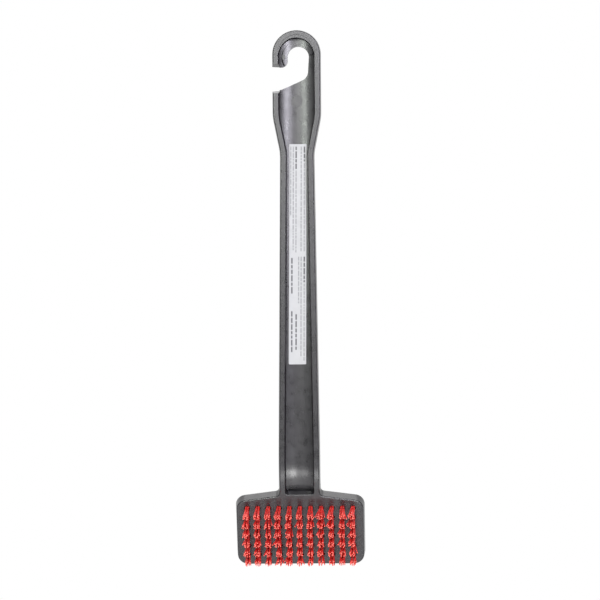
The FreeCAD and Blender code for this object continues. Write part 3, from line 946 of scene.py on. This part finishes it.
@dataclass(frozen=True)
class SoftBox:
    """A rectangular soft light that faces a point and isn't seen itself."""

    name: str
    place: Triple
    target: Triple
    size: tuple[float, float]
    power: float
    tint: Colour = (1, 1, 1)

    def build(self) -> None:
        """Makes the light."""
        data = bpy.data.lights.new(self.name, "AREA")
        data.shape = "RECTANGLE"
        data.size, data.size_y = self.size
        data.energy = self.power
        data.color = self.tint
        light = bpy.data.objects.new(self.name, data)
        light.visible_camera = False
        bpy.context.scene.collection.objects.link(light)
        light.location = self.place
        light.rotation_mode = "QUATERNION"
        light.rotation_quaternion = (Vector(self.target) - Vector(self.place)).to_track_quat("-Z", "Y")


@dataclass
class Studio:
    """A white cove with soft lights, a pale floor, and the camera.

    The floor's profile runs out from its middle, round its rim and back beneath it, as shares of
    its radius and drops below its top.
    """

    aim: Vector
    azimuth: float = 2.0
    roll: float = 0.42
    distance: float = 3.0
    view_height: float = 513.6 * MM
    sensor: float = 36.0
    clip_start: float = 0.05
    clip_end: float = 50
    lavender: Colour = (0.92, 0.90, 1.0)
    green: Colour = (0.94, 1.0, 0.93)
    floor_drop: float = 620 * MM
    floor_radius: float = 1.3
    floor_steps: int = 96
    floor_middle: float = 0.002
    floor_profile: tuple[tuple[float, float], ...] = (
        (0.0, 0.0), (0.35, 0.0), (0.97, 0.0), (0.99, 0.004), (1.0, 0.014), (0.985, 0.03), (0.0, 0.03),
    )

    def camera(self) -> None:
        """Makes the camera, far off on a long lens, level with the middle of the handle."""
        data = bpy.data.cameras.new("camera")
        camera = bpy.data.objects.new("camera", data)
        bpy.context.scene.collection.objects.link(camera)
        turn = math.radians(self.azimuth)
        back = Vector((math.sin(turn), -math.cos(turn), 0))
        right = Vector((math.cos(turn), math.sin(turn), 0))
        up = Vector((0, 0, 1))
        roll = math.radians(self.roll)
        level = right * math.cos(roll) - up * math.sin(roll)
        upright = up * math.cos(roll) + right * math.sin(roll)
        camera.matrix_world = Matrix((
            (level.x, upright.x, back.x, 0),
            (level.y, upright.y, back.y, 0),
            (level.z, upright.z, back.z, 0),
            (0, 0, 0, 1),
        ))
        camera.location = self.aim + back * self.distance
        data.sensor_width = self.sensor
        data.lens = self.sensor * self.distance / self.view_height
        data.clip_start, data.clip_end = self.clip_start, self.clip_end
        bpy.context.scene.camera = camera

    def lights(self) -> None:
        """Sets the soft lights round the brush.

        The floor of the hollow is a trough, so its left half mirrors the strip on the right, and
        its right half mirrors the strip on the left.
        """
        boxes = (
            SoftBox("top_box", (0.0, -1.20, 0.42), (0, 0, -0.05), (0.50, 0.36), 4.6),
            SoftBox("front_strip", (-0.11, -1.15, 0.07), (0, 0, -0.1), (0.13, 0.62), 1.5),
            SoftBox("right_strip", (0.42, -1.15, 0.24), (0, 0, -0.05), (0.16, 0.62), 9.0, self.lavender),
            SoftBox("left_strip", (-0.42, -1.15, 0.24), (0, 0, -0.05), (0.15, 0.62), 5.6, self.green),
            SoftBox("low_right_box", (0.28, -1.00, -0.80), (0, 0, -0.35), (0.34, 0.24), 4.4),
            SoftBox("low_left_box", (-0.25, -1.00, -0.80), (0, 0, -0.35), (0.40, 0.24), 1.6),
            SoftBox("back_box", (0.0, 0.85, 0.75), (0, 0, -0.3), (1.00, 0.60), 3.6),
        )
        for box in boxes:
            box.build()

    def world(
        self,
        front: float = 0.18,
        behind: float = 1.0,
        front_edge: float = -0.25,
        back_edge: float = 0.35,
    ) -> None:
        """Makes the cove: white where it shows, dim in front of the brush and bright behind it.

        Args:
            front: the light's strength from the camera's side.
            behind: the light's strength from the white backdrop.
            front_edge: how far behind a direction points, -1 to 1, where it starts to brighten.
            back_edge: how far behind it points where it is fully bright.
        """
        world = bpy.data.worlds.new("cove")
        bpy.context.scene.world = world
        world.use_nodes = True
        tree = world.node_tree
        tree.nodes.clear()
        output = tree.nodes.new("ShaderNodeOutputWorld")
        mix = tree.nodes.new("ShaderNodeMixShader")
        path = tree.nodes.new("ShaderNodeLightPath")
        seen = tree.nodes.new("ShaderNodeBackground")
        soft = tree.nodes.new("ShaderNodeBackground")
        direction = tree.nodes.new("ShaderNodeTexCoord")
        axes = tree.nodes.new("ShaderNodeSeparateXYZ")
        depth = tree.nodes.new("ShaderNodeMapRange")
        limits = {"From Min": front_edge, "From Max": back_edge, "To Min": front, "To Max": behind}
        for name, number in limits.items():
            depth.inputs[name].default_value = number
        tree.links.new(direction.outputs["Generated"], axes.inputs[0])
        tree.links.new(axes.outputs["Y"], depth.inputs["Value"])
        tree.links.new(depth.outputs["Result"], soft.inputs["Strength"])
        for background in (seen, soft):
            background.inputs["Color"].default_value = (1, 1, 1, 1)
        tree.links.new(path.outputs["Is Camera Ray"], mix.inputs["Fac"])
        tree.links.new(soft.outputs[0], mix.inputs[1])
        tree.links.new(seen.outputs[0], mix.inputs[2])
        tree.links.new(mix.outputs[0], output.inputs["Surface"])

    def floor(self, finish: PaleFloor) -> None:
        """Lays a round pale floor under the hanging brush, with a softly rolled rim.

        Args:
            finish: the floor's finish.
        """
        rim = self.floor_steps
        top = CAD_LOW.z - self.floor_drop
        points, faces = [], []
        for share, drop in self.floor_profile:
            for step in range(rim):
                angle = 2 * math.pi * step / rim
                reach = self.floor_radius * max(share, self.floor_middle)
                points.append(Vector((reach * math.cos(angle), reach * math.sin(angle), top - drop)))
        for ring in range(len(self.floor_profile) - 1):
            for step in range(rim):
                after = (step + 1) % rim
                here, there = ring * rim, (ring + 1) * rim
                faces.append((here + step, there + step, there + after, here + after))
        mesh = bpy.data.meshes.new("floor")
        mesh.from_pydata(points, [], faces)
        mesh.materials.append(finish.build())
        mesh.update()
        floor = bpy.data.objects.new("floor", mesh)
        bpy.context.scene.collection.objects.link(floor)

    def build(self) -> None:
        """Makes the whole studio."""
        self.camera()
        self.lights()
        self.world()
        self.floor(PaleFloor())
        bpy.context.scene.view_settings.view_transform = "Standard"
        LOG.info("built the studio")


# ---------------------------------------------------------------------------------------------
# The print's inks, the point that the camera looks at, and the order of work
# ---------------------------------------------------------------------------------------------


BODY_INK = PrintedInk("body_ink", full=(0.20, 0.20, 0.21), thin=(0.34, 0.34, 0.35))
HEADING_INK = PrintedInk("heading_ink", full=(0.06, 0.06, 0.065), thin=(0.15, 0.15, 0.16))
VIEW_CENTRE = Vector((0.27, -9.7, -208.3)) * MM


def main() -> None:
    """Builds the brush's looks round the CAD model, piece by piece, and then the studio."""
    logging.basicConfig(level=logging.INFO, format="%(name)s: %(message)s")
    Moulding().dress(MouldedBlack())
    anchors = Anchors()
    anchors.dress(GalvanisedWire())
    face = HeadFace()
    nylon = RedNylon()
    side, cut = nylon.side(), nylon.cut()
    for number in range(1, anchors.columns + 1):
        TuftColumn(number, face).build(side, cut)
    label = CareLabel()
    label.sheet(CoatedPaper().build())
    label.ink(BODY_INK.build(), HEADING_INK.build())
    Studio(aim=VIEW_CENTRE).build()


if __name__ == "__main__":
    main()
